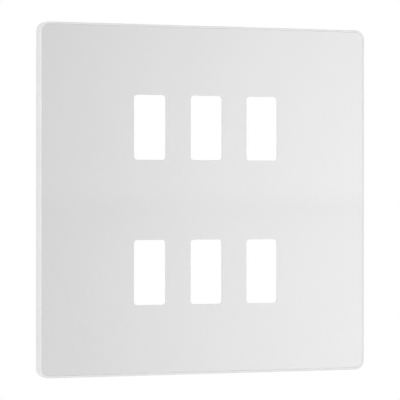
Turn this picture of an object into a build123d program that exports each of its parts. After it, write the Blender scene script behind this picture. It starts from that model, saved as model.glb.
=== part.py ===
from build123d import *
import os

# Square screwless cover plate for two rows of three grid switch modules, in millimetres.
# Three pieces: a thin front panel, the cover moulding that carries it, and the mounting
# frame on the wall that the cover snaps over.
#
# Each piece is drawn lying on its back: X to the right, Y up the wall, Z off the wall.
# The last step stands it upright, so the plate faces -Y, +Z is up, and the origin is the
# middle of the wall plane.

# Cover moulding, outside
plate_width = 146.0
plate_height = 146.0
plate_depth = 5.4            # wall plane to front face
plate_corner_radius = 4.0
rim_width = 0.9              # moulded border left round the front panel
rim_edge_radius = 0.45       # rounded front edge of the border

# Cover moulding, inside
wall_thickness = 1.4
floor_thickness = 1.6        # web that the front panel lies on
root_bevel = 0.4             # stiffening bevel where the walls meet the floor
least_corner_radius = 0.5    # corners of outlines drawn far inside the plate

# Front panel, bonded into the shallow tray in front of the floor
panel_thickness = 0.5
panel_groove = 0.03          # fit of the panel in its tray, seen as a thin line round it
panel_edge_bevel = 0.03      # broken front edges

# Fixing lugs of the flush wall box behind the plate
lug_spacing_x = 120.6
lug_spacing_z = 60.3

# Switch modules: every row is centred on its own pair of box lugs
module_columns = 3
module_rows = 2
column_pitch = 25.2
row_pitch = lug_spacing_z
module_width = 24.8
module_height = 38.6
module_clearance = 1.2       # from the modules to the edge of the frame's window

# Apertures that the rockers stand in
aperture_width = 14.0
aperture_height = 27.0
aperture_corner_radius = 1.4
aperture_setback = 1.2       # the floor's opening stands back from the panel's edge
collar_width = 1.0           # stiffening bead round each opening, on the back
collar_height = 0.5

# Bearing ribs on the back of the floor, which seat on the mounting frame
bearing_rib_height = 0.7
bearing_rib_width = 1.2
bearing_rib_inset = 4.0      # from the cover's walls
bearing_rib_margin = 3.0     # from the edge of the frame's window

# Mounting frame
frame_clearance = 0.4        # between the frame's edge and the cover's walls
frame_lead_in = 0.4          # bevel that guides the cover on
skin_thickness = 1.2
rib_width = 1.2
window_corner_radius = 2.0
clip_notch_width = 8.0       # gap in a window's edge that a module's clip springs into
clip_notch_depth = 1.2
ejector_pad_diameter = 4.0   # where pins push the moulding out of its tool

# Slots for the box screws, with a recess that sinks the screw head
slot_width = 4.2
slot_length = 8.0
screw_head_diameter = 7.0
head_clearance = 0.3
head_web = 1.0               # material left under the screw head
boss_wall = 1.2

# Snap fit: ridges inside the cover's walls click behind spring edges of the frame
catches_per_side = 2
catch_pitch = 80.0
ridge_length = 12.0
ridge_overlap = 0.5          # how far a ridge reaches behind the frame's edge
ridge_start = 0.3            # lead-in begins this far off the wall
ridge_release = 0.25         # slope of the catching side
ridge_land = 0.15
catch_clearance = 0.1        # between a ridge and the lip that it holds
relief_depth = 1.3           # notch behind the lip, from the wall plane
relief_end_clearance = 1.0
spring_width = 1.4
spring_slot_length = 30.0
spring_slot_width = 1.6

# Lever slot in the lower wall, for the blade that lifts the cover off
lever_slot_width = 9.0
lever_slot_depth = 1.2
lever_slot_radius = 0.5

# Places that follow from these sizes
tray_floor = plate_depth - panel_thickness
floor_back = tray_floor - floor_thickness
frame_thickness = floor_back - bearing_rib_height
frame_inset = wall_thickness + frame_clearance
rib_height = frame_thickness - skin_thickness
window_width = (module_columns - 1) * column_pitch + module_width + 2 * module_clearance
window_height = module_height + 2 * module_clearance
window_rib_x = (window_width + rib_width) / 2     # middle of the ribs beside a window
window_rib_z = (window_height + rib_width) / 2    # middle of the ribs above and below it
head_recess_width = screw_head_diameter + 2 * head_clearance
head_recess_length = head_recess_width + slot_length - slot_width


def slab(outline, low, high):
    """An outline given thickness between two distances off the wall."""
    return extrude(Pos(0, 0, low) * outline, amount=high - low)


def plate_outline(inset):
    """The plate's rounded square, drawn in by an inset that keeps its corners concentric."""
    radius = max(plate_corner_radius - inset, least_corner_radius)
    return RectangleRounded(plate_width - 2 * inset, plate_height - 2 * inset, radius)


def ring(outline_at, inset, width):
    """A closed rib between an outline at one inset and the same outline further in."""
    return outline_at(inset) - outline_at(inset + width)


def module_places():
    """One place for each switch module."""
    return GridLocations(column_pitch, row_pitch, module_columns, module_rows)


def row_places():
    """The middle of each row of modules."""
    return GridLocations(column_pitch, row_pitch, 1, module_rows)


def lug_places():
    """One place for each box screw."""
    return GridLocations(lug_spacing_x, lug_spacing_z, 2, 2)


def aperture(growth=0.0):
    """The rocker's opening, grown by the same amount on every side."""
    return RectangleRounded(
        aperture_width + 2 * growth,
        aperture_height + 2 * growth,
        aperture_corner_radius + growth,
    )


def window(growth=0.0):
    """The mounting frame's window for one row of modules, grown on every side."""
    return RectangleRounded(
        window_width + 2 * growth,
        window_height + 2 * growth,
        window_corner_radius + growth,
    )


def catch_places():
    """For each catch: the turn to its side, its place along that side, and half the plate there."""
    for turn, half in ((0, plate_width / 2), (90, plate_height / 2)):
        for side in (turn, turn + 180):
            for place in GridLocations(0, catch_pitch, 1, catches_per_side):
                yield side, place.position.Y, half


def snap_ridge(half):
    """A wedge on the inner face of the right-hand wall, pointing at the middle of the plate."""
    wall_face = half - wall_thickness
    tip = wall_face - frame_clearance - ridge_overlap
    top = relief_depth - catch_clearance
    crest = top - ridge_release
    profile = Polyline(
        (wall_face + wall_thickness / 2, ridge_start),
        (wall_face, ridge_start),
        (tip, crest - ridge_land),
        (tip, crest),
        (wall_face, top),
        (wall_face + wall_thickness / 2, top),
        close=True,
    )
    wedge = extrude(Plane.XZ * make_face(profile), amount=ridge_length / 2, both=True)
    return wedge


def relief_notch(half):
    """The space behind the spring edge where a ridge comes to rest."""
    edge = half - frame_inset
    return Pos(edge, 0, 0) * Box(
        2 * spring_width,
        ridge_length + 2 * relief_end_clearance,
        2 * relief_depth,
    )


def spring_slot(half):
    """The slot that frees the frame's edge to flex."""
    middle = half - frame_inset - spring_width - spring_slot_width / 2
    return Pos(middle, 0) * SlotOverall(spring_slot_length, spring_slot_width, rotation=90)


def lever_slot():
    """A round-cornered notch through the lower wall, open at the wall plane."""
    outline = RectangleRounded(lever_slot_width, 2 * lever_slot_depth, lever_slot_radius)
    through = Plane.XZ.offset(plate_height / 2 - wall_thickness) * outline
    return extrude(through, amount=2 * wall_thickness)


def front_panel():
    """The thin visible face: a sheet with six apertures and broken edges."""
    sheet = plate_outline(rim_width + panel_groove)
    sheet -= module_places() * aperture()
    panel = slab(sheet, tray_floor, plate_depth)
    return chamfer(panel.faces().sort_by(Axis.Z)[-1].edges(), panel_edge_bevel)


def cover_shell():
    """Border, walls and floor, with the tray for the panel in front and the hollow behind."""
    shell = slab(plate_outline(0), 0, plate_depth)
    shell = fillet(shell.faces().sort_by(Axis.Z)[-1].edges(), min(rim_edge_radius, 0.6 * rim_width))
    shell -= slab(plate_outline(wall_thickness), 0, floor_back)
    hollow_top = shell.faces().filter_by(Axis.Z).group_by(Axis.Z)[1]
    shell = chamfer(hollow_top.edges(), root_bevel)
    shell -= slab(plate_outline(rim_width), tray_floor, plate_depth)
    return shell


def bearing_ribs():
    """Closed ribs that hold the floor at the right height over the mounting frame."""
    outline = ring(plate_outline, wall_thickness + bearing_rib_inset, bearing_rib_width)
    around_window = window(bearing_rib_margin + bearing_rib_width) - window(bearing_rib_margin)
    outline += row_places() * around_window
    return slab(outline, frame_thickness, floor_back)


def cover_moulding():
    """The one-piece cover that the front panel is bonded to."""
    cover = cover_shell()
    beads = Sketch() + module_places() * aperture(aperture_setback + collar_width)
    cover += slab(beads, floor_back - collar_height, floor_back)
    cover += bearing_ribs()
    for turn, along, half in catch_places():
        cover += Rot(0, 0, turn) * Pos(0, along, 0) * snap_ridge(half)
    openings = Sketch() + module_places() * aperture(aperture_setback)
    cover -= slab(openings, 0, plate_depth)
    cover -= lever_slot()
    return cover


def strip(middle, length, width, turn=0):
    """A straight rib seen from behind."""
    return Pos(*middle) * Rectangle(length, width, rotation=turn)


def ejector_pads():
    """Round pads where ribs cross, for the pins that push the moulding out of its tool."""
    pad = Circle(ejector_pad_diameter / 2)
    pads = Sketch() + GridLocations(lug_spacing_x, row_pitch + 2 * window_rib_z, 2, 2) * pad
    pads += GridLocations(lug_spacing_x, 0, 2, 1) * pad
    pads += GridLocations(column_pitch, 0, 2, 1) * pad
    return pads


def frame_ribs():
    """The lattice moulded on the back of the mounting frame's skin."""
    inner_inset = frame_inset + spring_width + spring_slot_width
    field = plate_outline(inner_inset)
    span_x = plate_width - 2 * inner_inset
    span_z = plate_height - 2 * inner_inset

    lattice = ring(plate_outline, inner_inset, rib_width)
    lattice += row_places() * window(rib_width)
    upright_ribs = [window_rib_x, lug_spacing_x / 2, column_pitch / 2]
    for x in upright_ribs:
        lattice += [strip((side * x, 0), span_z, rib_width, 90) for side in (-1, 1)]
    level_ribs = [0]
    for place in row_places():
        row = place.position.Y
        level_ribs += [row - window_rib_z, row, row + window_rib_z]
    for z in level_ribs:
        lattice += strip((0, z), span_x, rib_width)
    lattice += ejector_pads()
    return (lattice & field) + ring(plate_outline, frame_inset, spring_width)


def clip_notches():
    """For each module, one band that reaches past the window above and below it."""
    band = Rectangle(clip_notch_width, window_height + 2 * clip_notch_depth)
    return Sketch() + module_places() * band


def screw_bosses():
    """Full-depth pads round the slots for the box screws."""
    pad = SlotOverall(head_recess_length + 2 * boss_wall, head_recess_width + 2 * boss_wall)
    return slab(Sketch() + lug_places() * pad, 0, frame_thickness)


def mounting_frame():
    """The frame screwed to the wall box, with a window for each row of modules."""
    outline = plate_outline(frame_inset)
    frame = slab(outline, rib_height, frame_thickness)
    frame = chamfer(frame.faces().sort_by(Axis.Z)[-1].edges(), frame_lead_in)
    frame += slab(frame_ribs(), 0, rib_height)
    frame += screw_bosses()

    cuts = Sketch() + row_places() * window()
    cuts += clip_notches()
    cuts += lug_places() * SlotOverall(slot_length, slot_width)
    for turn, along, half in catch_places():
        cuts += Rot(0, 0, turn) * Pos(0, along) * spring_slot(half)
    frame -= slab(cuts, 0, frame_thickness)

    recesses = Sketch() + lug_places() * SlotOverall(head_recess_length, head_recess_width)
    frame -= slab(recesses, head_web, frame_thickness)
    for turn, along, half in catch_places():
        frame -= Rot(0, 0, turn) * Pos(0, along, 0) * relief_notch(half)
    return frame


def stand_upright(piece):
    """Turn a piece from lying on its back to facing -Y."""
    return Rot(90, 0, 0) * piece


os.makedirs("parts", exist_ok=True)
export_step(stand_upright(front_panel()), "parts/front_panel.step")
export_step(stand_upright(cover_moulding()), "parts/cover_moulding.step")
export_step(stand_upright(mounting_frame()), "parts/mounting_frame.step")
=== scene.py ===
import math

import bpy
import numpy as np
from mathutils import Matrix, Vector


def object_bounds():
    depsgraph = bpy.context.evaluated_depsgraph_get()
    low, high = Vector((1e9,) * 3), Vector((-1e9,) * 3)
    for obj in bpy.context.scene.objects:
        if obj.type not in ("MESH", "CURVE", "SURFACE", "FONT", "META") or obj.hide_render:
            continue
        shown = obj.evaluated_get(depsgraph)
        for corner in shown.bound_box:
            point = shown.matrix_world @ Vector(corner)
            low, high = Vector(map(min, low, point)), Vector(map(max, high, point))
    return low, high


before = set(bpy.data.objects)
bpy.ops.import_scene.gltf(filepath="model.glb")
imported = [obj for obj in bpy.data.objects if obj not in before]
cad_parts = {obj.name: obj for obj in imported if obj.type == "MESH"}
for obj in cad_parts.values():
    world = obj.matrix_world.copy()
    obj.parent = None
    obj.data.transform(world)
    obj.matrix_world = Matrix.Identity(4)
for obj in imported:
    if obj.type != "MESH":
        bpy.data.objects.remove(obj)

# %% [markdown]
# # A screwless cover plate for grid switches
#
# The object is a square white plate for two rows of three rocker switches. A thin satin
# panel lies in a moulded border that stands 0.9 mm wide all round it. Behind them sits the
# ribbed frame that is screwed to the wall box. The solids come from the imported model, so
# this file is about surfaces and light: how pearl lacquer, blasted plastic and spark textured
# plastic are told apart when all three are white.
#
# White on white is the hard case. There is no colour to help, only how each surface
# spreads light, so every tone below is chosen against the tone beside it.

MM = 0.001
cad_low, cad_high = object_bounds()
plate_width, plate_depth, plate_height = cad_high - cad_low
print(f"plate {plate_width / MM:.1f} x {plate_height / MM:.1f} mm, {plate_depth / MM:.1f} mm deep")

# %% [markdown]
# ## The camera
#
# The picture was taken with a long lens from the plate's left, level with its middle. A
# camera can be guessed by eye and nudged, or worked out from what is known. Here the plate
# is a standard 146 mm square, so its four edges and the edges of its apertures in the
# picture fix the lens, the distance and the angle together. Only one camera makes the near
# edge, the far edge and the 5.4 mm side wall all come out at the right size.

# %% Place the camera
IMAGE_SIDE = 400
FOCAL_PIXELS = 2315.8
SENSOR_WIDTH = 36.0
camera_place = Vector((-354.4, -909.8, 1.8)) * MM
look_right = 21.24
look_down = 0.108
roll = 0.044

camera_data = bpy.data.cameras.new("camera")
camera_data.sensor_width = SENSOR_WIDTH
camera_data.lens = FOCAL_PIXELS / IMAGE_SIDE * SENSOR_WIDTH
camera = bpy.data.objects.new("camera", camera_data)
bpy.context.scene.collection.objects.link(camera)
turn = (
    Matrix.Rotation(math.radians(-look_right), 4, "Z")
    @ Matrix.Rotation(math.radians(90 - look_down), 4, "X")
    @ Matrix.Rotation(math.radians(roll), 4, "Z")
)
camera.matrix_world = Matrix.Translation(camera_place) @ turn
bpy.context.scene.camera = camera
print(f"lens {camera_data.lens:.0f} mm, {camera_place.length:.2f} m from the plate")

# %% [markdown]
# ## Small helpers
#
# Colours are written as the sRGB hex values that a paint chart uses. Blender mixes light in
# linear numbers, so one function turns hex into linear. A second one adds a node with its
# settings and links, which keeps each material short enough to read in one go, and a third
# makes the empty material that they go into.

# %% Colour and node helpers
def linear(hex_colour):
    """Each sRGB channel c becomes c / 12.92 below 0.04045, else ((c + 0.055) / 1.055) ** 2.4."""
    channels = np.array([int(hex_colour[i:i + 2], 16) for i in (1, 3, 5)]) / 255
    curve = np.where(channels <= 0.04045, channels / 12.92, ((channels + 0.055) / 1.055) ** 2.4)
    return (*curve.tolist(), 1.0)


def add(tree, kind, links=None, **settings):
    """A node of one kind. A setting names a property or an input, and a link feeds an input."""
    node = tree.nodes.new(kind)
    for name, value in settings.items():
        if hasattr(node, name):
            setattr(node, name, value)
        else:
            node.inputs[name.replace("_", " ")].default_value = value
    for name, source in (links or {}).items():
        tree.links.new(source, node.inputs[name])
    return node


def new_material(name):
    """An empty node material and its tree."""
    material = bpy.data.materials.new(name)
    material.use_nodes = True
    material.node_tree.nodes.clear()
    return material, material.node_tree


# %% [markdown]
# ## Panel: pearl lacquer
#
# The panel is a 0.5 mm sheet sprayed with a pale pearl lacquer. Three things happen in such
# a finish. Mica flakes under the surface catch light one by one, which gives a very fine
# grain. The sprayed film dries with a soft waviness about a millimetre across, called
# orange peel. And the clear layer on top still reflects its surroundings faintly, so a
# studio's horizon shows in it as a darker line.
#
# A single roughness value can't do all of that. The base is rough and carries the flakes,
# and a clear coat over it is smoother and carries the reflection.

# %% Pearl lacquer
# Real flakes are about 0.05 mm wide. They are drawn coarser, so that their grain shows.
FLAKE_SIZE = 0.35 * MM
PEEL_SIZE = 1.4 * MM
PEEL_DEPTH = 0.02 * MM
# The film's thickness drifts slowly, and its tone with it.
CLOUD_SIZE = 45 * MM


def pearl_lacquer():
    """Flakes set the base's tone and roughness, and the peel bends both layers."""
    material, tree = new_material("pearl lacquer")
    place = add(tree, "ShaderNodeTexCoord").outputs["Object"]
    flakes = add(tree, "ShaderNodeTexVoronoi", {"Vector": place}, Scale=1 / FLAKE_SIZE)
    flake_tone = add(tree, "ShaderNodeSeparateColor", {"Color": flakes.outputs["Color"]})
    clouds = add(tree, "ShaderNodeTexNoise", {"Vector": place}, Scale=1 / CLOUD_SIZE, Detail=2.0)
    peel = add(tree, "ShaderNodeTexNoise", {"Vector": place}, Scale=1 / PEEL_SIZE, Detail=1.0)

    tone = add(
        tree, "ShaderNodeMath", {0: flake_tone.outputs["Red"], 1: clouds.outputs["Fac"]},
        operation="ADD",
    )
    colour = add(tree, "ShaderNodeValToRGB", {"Fac": tone.outputs[0]})
    colour.color_ramp.elements[0].position = 0.2
    colour.color_ramp.elements[0].color = linear("#CECECE")
    colour.color_ramp.elements[1].position = 1.0
    colour.color_ramp.elements[1].color = linear("#D2D2D2")
    rough = add(
        tree, "ShaderNodeMapRange", {"Value": flake_tone.outputs["Green"]},
        To_Min=0.28, To_Max=0.36,
    )
    bump = add(
        tree, "ShaderNodeBump", {"Height": peel.outputs["Fac"]},
        Strength=0.5, Distance=PEEL_DEPTH,
    )
    shader = add(
        tree, "ShaderNodeBsdfPrincipled",
        {
            "Base Color": colour.outputs["Color"],
            "Roughness": rough.outputs["Result"],
            "Normal": bump.outputs["Normal"],
            "Coat Normal": bump.outputs["Normal"],
        },
        Specular_IOR_Level=0.75, Coat_Weight=1.0, Coat_Roughness=0.05, Coat_IOR=1.5,
    )
    add(tree, "ShaderNodeOutputMaterial", {"Surface": shader.outputs["BSDF"]})
    return material


# %% [markdown]
# ## Cover and frame: moulded polycarbonate
#
# The border, the side walls and everything behind the panel are one moulding in white
# polycarbonate. The tool is finely blasted, so the plastic is semi-gloss with a grain that
# the eye loses from a step away, and its tone drifts a little where the melt flowed.
#
# The mounting frame is the same plastic, slightly greyer, from a tool that was left as spark
# erosion cut it. That gives a deeper grain and a matt face. Both come from one function,
# because only the tones, the roughness and the depth of the grain differ.

# %% Moulded polycarbonate
# A blasted or sparked grain is about 0.1 mm wide. It is drawn coarser, so that it shows.
GRAIN_SIZE = 0.25 * MM
FLOW_SIZE = 18 * MM
ROUGHNESS_SPREAD = 0.06


def moulded_polycarbonate(name, low_tone, high_tone, roughness, grain_depth):
    """The grain sets the relief and the roughness, and the flow sets the tone."""
    material, tree = new_material(name)
    place = add(tree, "ShaderNodeTexCoord").outputs["Object"]
    grain = add(tree, "ShaderNodeTexNoise", {"Vector": place}, Scale=1 / GRAIN_SIZE, Detail=2.0)
    flow = add(tree, "ShaderNodeTexNoise", {"Vector": place}, Scale=1 / FLOW_SIZE, Detail=2.0)
    colour = add(tree, "ShaderNodeValToRGB", {"Fac": flow.outputs["Fac"]})
    colour.color_ramp.elements[0].position = 0.3
    colour.color_ramp.elements[0].color = linear(low_tone)
    colour.color_ramp.elements[1].position = 0.7
    colour.color_ramp.elements[1].color = linear(high_tone)
    rough = add(
        tree, "ShaderNodeMapRange", {"Value": grain.outputs["Fac"]},
        To_Min=roughness - ROUGHNESS_SPREAD, To_Max=roughness + ROUGHNESS_SPREAD,
    )
    bump = add(
        tree, "ShaderNodeBump", {"Height": grain.outputs["Fac"]},
        Strength=0.4, Distance=grain_depth,
    )
    shader = add(
        tree, "ShaderNodeBsdfPrincipled",
        {
            "Base Color": colour.outputs["Color"],
            "Roughness": rough.outputs["Result"],
            "Normal": bump.outputs["Normal"],
        },
        IOR=1.585,
    )
    add(tree, "ShaderNodeOutputMaterial", {"Surface": shader.outputs["BSDF"]})
    return material


# %% Give every solid its material
def dress(node, material):
    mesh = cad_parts[node].data
    mesh.materials.clear()
    mesh.materials.append(material)
    print(node, "->", material.name, len(mesh.polygons), "faces")


blasted = moulded_polycarbonate(
    "blasted polycarbonate", "#F0F0F0", "#F4F4F4", roughness=0.34, grain_depth=0.004 * MM,
)
sparked = moulded_polycarbonate(
    "spark textured polycarbonate", "#DFDFDD", "#E4E4E2", roughness=0.55, grain_depth=0.02 * MM,
)
dress("front_panel", pearl_lacquer())
dress("cover_moulding", blasted)
dress("mounting_frame", sparked)

# %% [markdown]
# ## The studio
#
# A white object on white needs a room that is white to the lens but not to the object. If
# the background lit the plate at full strength, every side would glow alike and the plate
# would have no form. Light Path tells the two apart: camera rays, and the rays that a
# glossy surface sends out, see plain white, and all other rays see a dimmer room.
#
# The floor is white paper, half a metre below, so that it shows in views from above and
# catches a soft shadow. It curves up a little far out, as a studio's paper does, and lifts
# itself to white in the same way. The room and its lamps are measured in metres.

# %% White room
ROOM_LIGHT = 0.475
PAPER_WHITE = 1.0


def seen_as_background(tree):
    """1 for camera, glossy and transmission rays, and 0 for the rays that only carry light."""
    rays = add(tree, "ShaderNodeLightPath").outputs
    direct = add(
        tree, "ShaderNodeMath", {0: rays["Is Camera Ray"], 1: rays["Is Glossy Ray"]},
        operation="MAXIMUM",
    )
    return add(
        tree, "ShaderNodeMath", {0: direct.outputs[0], 1: rays["Is Transmission Ray"]},
        operation="MAXIMUM",
    ).outputs[0]


world = bpy.data.worlds.new("white room")
bpy.context.scene.world = world
world.use_nodes = True
room = world.node_tree
room.nodes.clear()
strength = add(
    room, "ShaderNodeMapRange", {"Value": seen_as_background(room)},
    To_Min=ROOM_LIGHT, To_Max=PAPER_WHITE,
)
glow = add(
    room, "ShaderNodeBackground", {"Strength": strength.outputs["Result"]},
    Color=linear("#FFFFFF"),
)
add(room, "ShaderNodeOutputWorld", {"Surface": glow.outputs["Background"]})
print(f"the room lights the plate at {ROOM_LIGHT} and shows as {PAPER_WHITE}")

# %% Floor
FLOOR_LEVEL = -0.50
FLAT_RADIUS = 1.6
RIM_RADIUS = 2.6
RIM_RISE = 0.10
FIBRE_SIZE = 2 * MM


def grid_mesh(name, points):
    """A surface through a grid of points, one row of quads between each pair of rows."""
    rows, columns = points.shape[:2]
    corner = np.arange(rows * columns).reshape(rows, columns)
    quads = np.stack([corner[:-1, :-1], corner[1:, :-1], corner[1:, 1:], corner[:-1, 1:]], axis=-1)
    mesh = bpy.data.meshes.new(name)
    mesh.from_pydata(points.reshape(-1, 3).tolist(), [], quads.reshape(-1, 4).tolist())
    mesh.polygons.foreach_set("use_smooth", np.ones(len(mesh.polygons), dtype=bool))
    mesh.update()
    return mesh


def floor_points(lines=81):
    """Square grid. The height is the floor's level inside the flat radius, and beyond that it
    grows with the square of the way to the rim radius."""
    along = np.linspace(-RIM_RADIUS, RIM_RADIUS, lines)
    x, y = np.meshgrid(along, along, indexing="ij")
    beyond = np.clip((np.hypot(x, y) - FLAT_RADIUS) / (RIM_RADIUS - FLAT_RADIUS), 0, 1)
    return np.stack([x, y, FLOOR_LEVEL + RIM_RISE * beyond ** 2], axis=-1)


def floor_paper():
    material, tree = new_material("matt white paper")
    place = add(tree, "ShaderNodeTexCoord").outputs["Object"]
    fibre = add(tree, "ShaderNodeTexNoise", {"Vector": place}, Scale=1 / FIBRE_SIZE, Detail=2.0)
    bump = add(
        tree, "ShaderNodeBump", {"Height": fibre.outputs["Fac"]}, Strength=0.1, Distance=0.1 * MM,
    )
    paper = add(
        tree, "ShaderNodeBsdfDiffuse", {"Normal": bump.outputs["Normal"]}, Color=linear("#F4F4F4"),
    )
    lift = add(
        tree, "ShaderNodeEmission", {"Strength": seen_as_background(tree)}, Color=linear("#B6B6B6"),
    )
    both = add(tree, "ShaderNodeAddShader", {0: paper.outputs["BSDF"], 1: lift.outputs["Emission"]})
    add(tree, "ShaderNodeOutputMaterial", {"Surface": both.outputs["Shader"]})
    return material


floor = bpy.data.objects.new("floor", grid_mesh("floor", floor_points()))
floor.data.materials.append(floor_paper())
bpy.context.scene.collection.objects.link(floor)
print(f"floor {-FLOOR_LEVEL / MM:.0f} mm below the middle of the plate")

# %% [markdown]
# ## Lamps
#
# The panel is darker at its left edge than at its right, and its border isn't. So the slope
# is not in the light that falls on the plate, but in what its lacquer reflects. From this
# camera the panel mirrors a patch of the studio in front of it on the right, about 0.3 m
# square at lamp distance. Two soft boxes hang there, one above the other, and together they
# more than fill it. Both are brighter to the right, as a box with its tube at one end is, and
# both have a brighter middle. They fade out at their right and outer ends, past that patch, so
# the lacquer shows no hard edge of a box from other sides. Their frames leave a seam of 2 mm,
# and the lacquer shows it as a faint horizon across the middle of the plate.
#
# The other lamps only shape the object. The side wall is nearly as pale as the border, so a
# weak lamp stands far to the left for it, beside the one at the front left that lights both.
# One behind shapes the ribs of the mounting frame.

# %% Soft lamps
def soft_lamp(name, place, target, size, radiance):
    """A rectangular lamp. Its power is pi times its area times its radiance, so a radiance of 1
    is as bright as white paper in the open."""
    lamp_data = bpy.data.lights.new(name, "AREA")
    lamp_data.shape = "RECTANGLE"
    lamp_data.size, lamp_data.size_y = size
    lamp_data.energy = math.pi * size[0] * size[1] * radiance
    lamp = bpy.data.objects.new(name, lamp_data)
    aim = (Vector(target) - Vector(place)).to_track_quat("-Z", "Y")
    lamp.matrix_world = Matrix.LocRotScale(Vector(place), aim, None)
    bpy.context.scene.collection.objects.link(lamp)
    print(f"{name}: {size[0]:.2f} x {size[1]:.2f} m, radiance {radiance}")
    return lamp


LAMP_SIZE = (1.2, 1.2)
MIDDLE = (0, 0, 0)
soft_lamp("key", (-1.6, -1.4, 0.5), MIDDLE, LAMP_SIZE, radiance=2.87)
soft_lamp("side fill", (-2.0, 0.3, 0.4), MIDDLE, LAMP_SIZE, radiance=0.77)
soft_lamp("back", (1.2, 1.6, 1.2), MIDDLE, LAMP_SIZE, radiance=2.5)

# %% Graded boxes
BOX_SIZE = (0.48, 0.32)
BOX_PLACE_X = 0.44
BOX_DISTANCE = 1.0
SEAM_HEIGHT = -0.0078
SEAM_WIDTH = 0.0022
RIGHTWARD = 4.91
RIGHT_FADE = 0.27
OUTER_FADE = 0.40


def fade(tree, place, end, share, level):
    """A level that sinks smoothly to 0 at one end of a box, over that share of its length."""
    return add(
        tree, "ShaderNodeMapRange", {"Value": place, "To Max": level},
        interpolation_type="SMOOTHSTEP", From_Min=end, From_Max=abs(end - share),
    ).outputs["Result"]


def grade(lamp, outer_end, least, to_foot, hot_middle):
    """Strength over the lamp's face. With u growing from 0 to 1 towards its right and v towards
    its head, it is least + RIGHTWARD u + to_foot (1 - v) + 4 hot_middle v (1 - v), and it fades
    towards u = 1 and v = outer_end."""
    lamp.data.use_nodes = True
    tree = lamp.data.node_tree
    tree.nodes.clear()
    face = add(tree, "ShaderNodeNewGeometry").outputs["Parametric"]
    u, v, _ = add(tree, "ShaderNodeSeparateXYZ", {0: face}).outputs
    bend = add(tree, "ShaderNodeMath", {0: v}, operation="MULTIPLY_ADD")
    bend.inputs[1].default_value = -4 * hot_middle
    bend.inputs[2].default_value = 4 * hot_middle - to_foot
    rise = add(tree, "ShaderNodeMath", {0: v, 1: bend.outputs[0]}, operation="MULTIPLY_ADD")
    rise.inputs[2].default_value = least + to_foot
    level = add(tree, "ShaderNodeMath", {0: u, 2: rise.outputs[0]}, operation="MULTIPLY_ADD")
    level.inputs[1].default_value = RIGHTWARD
    faded = fade(tree, u, 1, RIGHT_FADE, level.outputs[0])
    faded = fade(tree, v, outer_end, OUTER_FADE, faded)
    shine = add(tree, "ShaderNodeEmission", {"Strength": faded})
    add(tree, "ShaderNodeOutputLight", {"Surface": shine.outputs["Emission"]})


def graded_box(name, outer_end, least, to_foot, hot_middle):
    """One box above the seam (outer end 1) or below it (outer end 0), facing the wall squarely.
    Its radiance of 1 is the unit of the grade."""
    side = 1 if outer_end == 1 else -1
    height = SEAM_HEIGHT + side * (BOX_SIZE[1] + SEAM_WIDTH) / 2
    place = (BOX_PLACE_X, -BOX_DISTANCE, height)
    target = (BOX_PLACE_X, 0, height)
    box = soft_lamp(name, place, target, BOX_SIZE, radiance=1.0)
    grade(box, outer_end, least, to_foot, hot_middle)


graded_box("upper graded box", outer_end=1, least=0.0, to_foot=0.758, hot_middle=0.117)
graded_box("lower graded box", outer_end=0, least=0.357, to_foot=0.0, hot_middle=0.45)

# %% Finish with the standard view transform
bpy.context.scene.view_settings.view_transform = "Standard"
